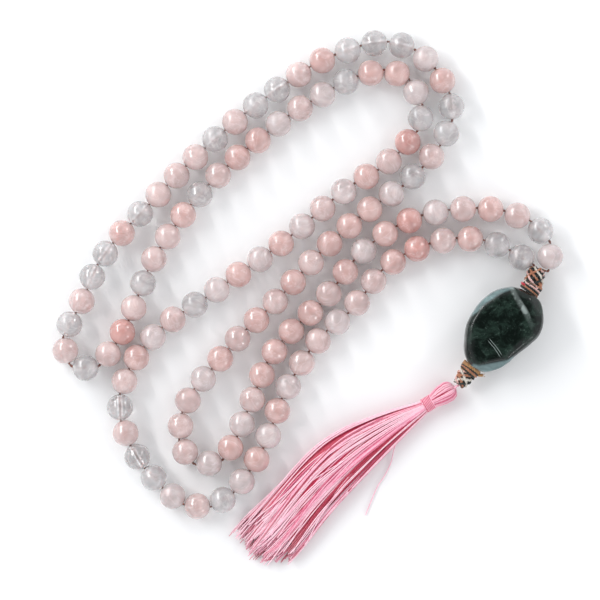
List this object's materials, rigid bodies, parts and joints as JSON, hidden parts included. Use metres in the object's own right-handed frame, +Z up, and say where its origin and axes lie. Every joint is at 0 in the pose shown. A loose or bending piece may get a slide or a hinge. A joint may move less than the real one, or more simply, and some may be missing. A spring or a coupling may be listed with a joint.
{
  "type": "mala prayer beads",
  "caption": "Rose quartz prayer beads on one closed cord, laid in folds, with a drilled dark guru stone, braided knots and a pink silk tassel.",
  "frame": {"origin": "on the surface that the mala lies on, under the middle of the box around everything", "axes": "+Z up from the surface; +Y towards the upper edge of the lay, away from the tassel's tip; +X towards the guru end"},
  "size_m": [0.1556, 0.1648, 0.0125],
  "materials": {
    "quartz_clear": "polished",
    "quartz_milky": "polished",
    "quartz_blush": "polished",
    "quartz_rose": "polished",
    "quartz_deep": "polished",
    "guru_stone": "polished",
    "cord_brown": "matte",
    "braid_dark": "matte",
    "braid_copper": "satin",
    "thread_crimson": "satin",
    "cord_tan": "satin",
    "silk": "satin",
    "silk_binding": "satin"
  },
  "bodies": {
    "strand": {"beads_011_to_014": "quartz_rose", "beads_025_to_028": "quartz_blush", "beads_029_to_032": "quartz_rose", "beads_033_to_036": "quartz_clear", "beads_037_to_040": "quartz_clear", "beads_041_to_044": "quartz_clear", "beads_045_to_049": "quartz_clear", "beads_050_to_054": "quartz_blush", "beads_063_to_066": "quartz_blush", "beads_067_to_070": "quartz_rose", "beads_071_to_074": "quartz_milky", "beads_075_to_078": "quartz_rose", "beads_079_to_082": "quartz_blush", "beads_083_to_086": "quartz_milky", "beads_087_to_090": "quartz_blush", "beads_091_to_094": "quartz_blush", "beads_095_to_098": "quartz_clear", "beads_099_to_102": "quartz_blush", "beads_103_to_106": "quartz_milky", "stringing_cord": "cord_brown"},
    "lower_fold": {"beads_015_to_019": "quartz_rose", "beads_020_to_024": "quartz_blush", "cord_in_lower_fold": "cord_brown"},
    "left_fold": {"beads_055_to_058": "quartz_blush", "beads_059_to_062": "quartz_blush", "cord_in_left_fold": "cord_brown"},
    "bead_001": {"bead_001": "quartz_milky"},
    "bead_002": {"bead_002": "quartz_clear"},
    "bead_003": {"bead_003": "quartz_blush"},
    "bead_004": {"bead_004": "quartz_rose"},
    "bead_005": {"bead_005": "quartz_blush"},
    "bead_006": {"bead_006": "quartz_milky"},
    "bead_007": {"bead_007": "quartz_deep"},
    "bead_008": {"bead_008": "quartz_rose"},
    "bead_009": {"bead_009": "quartz_milky"},
    "bead_010": {"bead_010": "quartz_rose"},
    "bead_107": {"bead_107": "quartz_blush"},
    "bead_108": {"bead_108": "quartz_milky"},
    "bead_109": {"bead_109": "quartz_blush"},
    "bead_110": {"bead_110": "quartz_blush"},
    "bead_111": {"bead_111": "quartz_rose"},
    "bead_112": {"bead_112": "quartz_deep"},
    "bead_113": {"bead_113": "quartz_blush"},
    "bead_114": {"bead_114": "quartz_rose"},
    "bead_115": {"bead_115": "quartz_clear"},
    "bead_116": {"bead_116": "quartz_clear"},
    "cord_legs": {"cord_legs": "cord_brown"},
    "pendant": {"upper_knot_braid": "braid_dark", "upper_knot_wraps": "braid_copper", "red_thread_end": "thread_crimson", "guru_cord": "braid_dark", "lower_wrap_collar": "cord_tan", "collar_cord_end": "cord_tan", "lower_knot": "braid_dark"},
    "guru_stone": {"guru_stone": "guru_stone"},
    "tassel_loop": {"tassel_loop": "silk_binding"},
    "tassel": {"tassel_head": "silk", "tassel_neck_binding": "silk_binding", "tassel_skirt": "silk", "stray_thread": "silk"}
  },
  "joints": [
    {"name": "lower_fold_lift", "type": "hinge", "parent": "strand", "child": "lower_fold", "pos_m": [-0.01801, -0.0168, 0.005], "axis": [-0.9379, 0.3469, 0], "range_deg": [0, 60]},
    {"name": "left_fold_lift", "type": "hinge", "parent": "strand", "child": "left_fold", "pos_m": [-0.0576, 0.00622, 0.005], "axis": [-0.7934, 0.6087, 0], "range_deg": [0, 60]},
    {"name": "turn_bead_001", "type": "hinge", "parent": "strand", "child": "bead_001", "pos_m": [0.0738, 0.01347, 0.004], "axis": [0.0911, 0.9958, 0], "continuous": true},
    {"name": "turn_bead_002", "type": "hinge", "parent": "strand", "child": "bead_002", "pos_m": [0.07089, 0.02135, 0.004], "axis": [-0.6856, 0.728, 0], "continuous": true},
    {"name": "turn_bead_003", "type": "hinge", "parent": "strand", "child": "bead_003", "pos_m": [0.06386, 0.02595, 0.004], "axis": [-0.9317, 0.3631, 0], "continuous": true},
    {"name": "turn_bead_004", "type": "hinge", "parent": "strand", "child": "bead_004", "pos_m": [0.0557, 0.02793, 0.004], "axis": [-0.9948, 0.102, 0], "continuous": true},
    {"name": "turn_bead_005", "type": "hinge", "parent": "strand", "child": "bead_005", "pos_m": [0.0473, 0.028, 0.004], "axis": [-0.9975, -0.0706, 0], "continuous": true},
    {"name": "turn_bead_006", "type": "hinge", "parent": "strand", "child": "bead_006", "pos_m": [0.03896, 0.02693, 0.004], "axis": [-0.9813, -0.1924, 0], "continuous": true},
    {"name": "turn_bead_007", "type": "hinge", "parent": "strand", "child": "bead_007", "pos_m": [0.03094, 0.02446, 0.004], "axis": [-0.9186, -0.3951, 0], "continuous": true},
    {"name": "turn_bead_008", "type": "hinge", "parent": "strand", "child": "bead_008", "pos_m": [0.02358, 0.0204, 0.004], "axis": [-0.8279, -0.5609, 0], "continuous": true},
    {"name": "turn_bead_009", "type": "hinge", "parent": "strand", "child": "bead_009", "pos_m": [0.01703, 0.01514, 0.004], "axis": [-0.7247, -0.6891, 0], "continuous": true},
    {"name": "turn_bead_010", "type": "hinge", "parent": "strand", "child": "bead_010", "pos_m": [0.01149, 0.00883, 0.004], "axis": [-0.5898, -0.8076, 0], "continuous": true},
    {"name": "turn_bead_107", "type": "hinge", "parent": "strand", "child": "bead_107", "pos_m": [0.00309, -0.0122, 0.004], "axis": [0.656, 0.7547, 0], "continuous": true},
    {"name": "turn_bead_108", "type": "hinge", "parent": "strand", "child": "bead_108", "pos_m": [0.00909, -0.00643, 0.004], "axis": [0.7694, 0.6388, 0], "continuous": true},
    {"name": "turn_bead_109", "type": "hinge", "parent": "strand", "child": "bead_109", "pos_m": [0.01505, -0.00062, 0.004], "axis": [0.6376, 0.7704, 0], "continuous": true},
    {"name": "turn_bead_110", "type": "hinge", "parent": "strand", "child": "bead_110", "pos_m": [0.02005, 0.00602, 0.004], "axis": [0.6001, 0.7999, 0], "continuous": true},
    {"name": "turn_bead_111", "type": "hinge", "parent": "strand", "child": "bead_111", "pos_m": [0.026, 0.01184, 0.004], "axis": [0.8128, 0.5825, 0], "continuous": true},
    {"name": "turn_bead_112", "type": "hinge", "parent": "strand", "child": "bead_112", "pos_m": [0.03328, 0.01587, 0.004], "axis": [0.9213, 0.389, 0], "continuous": true},
    {"name": "turn_bead_113", "type": "hinge", "parent": "strand", "child": "bead_113", "pos_m": [0.04122, 0.01837, 0.004], "axis": [0.9797, 0.2006, 0], "continuous": true},
    {"name": "turn_bead_114", "type": "hinge", "parent": "strand", "child": "bead_114", "pos_m": [0.04952, 0.01888, 0.004], "axis": [0.9967, -0.0818, 0], "continuous": true},
    {"name": "turn_bead_115", "type": "hinge", "parent": "strand", "child": "bead_115", "pos_m": [0.05763, 0.01702, 0.004], "axis": [0.934, -0.3573, 0], "continuous": true},
    {"name": "turn_bead_116", "type": "hinge", "parent": "strand", "child": "bead_116", "pos_m": [0.06507, 0.01329, 0.004], "axis": [0.8499, -0.5269, 0], "continuous": true},
    {"name": "pendant_swing", "type": "hinge", "parent": "strand", "child": "cord_legs", "pos_m": [0.0698, 0.00947, 0.004], "axis": [0, 0, 1], "range_deg": [-0.5, 36]},
    {"name": "pendant_lift", "type": "hinge", "parent": "cord_legs", "child": "pendant", "pos_m": [0.0698, 0.00947, 0.004], "axis": [-0.7986, 0.6018, 0], "range_deg": [0, 60]},
    {"name": "guru_spin", "type": "hinge", "parent": "pendant", "child": "guru_stone", "pos_m": [0.0672, 0.00272, 0.0052], "axis": [-0.6018, -0.7986, 0], "continuous": true},
    {"name": "tassel_swing", "type": "hinge", "parent": "pendant", "child": "tassel_loop", "pos_m": [0.04575, -0.02574, 0.0044], "axis": [0, 0, 1], "range_deg": [-1, 45]},
    {"name": "tassel_lift", "type": "hinge", "parent": "tassel_loop", "child": "tassel", "pos_m": [0.04491, -0.02627, 0.0044], "axis": [-0.5299, 0.848, 0], "range_deg": [0, 60]}
  ]
}
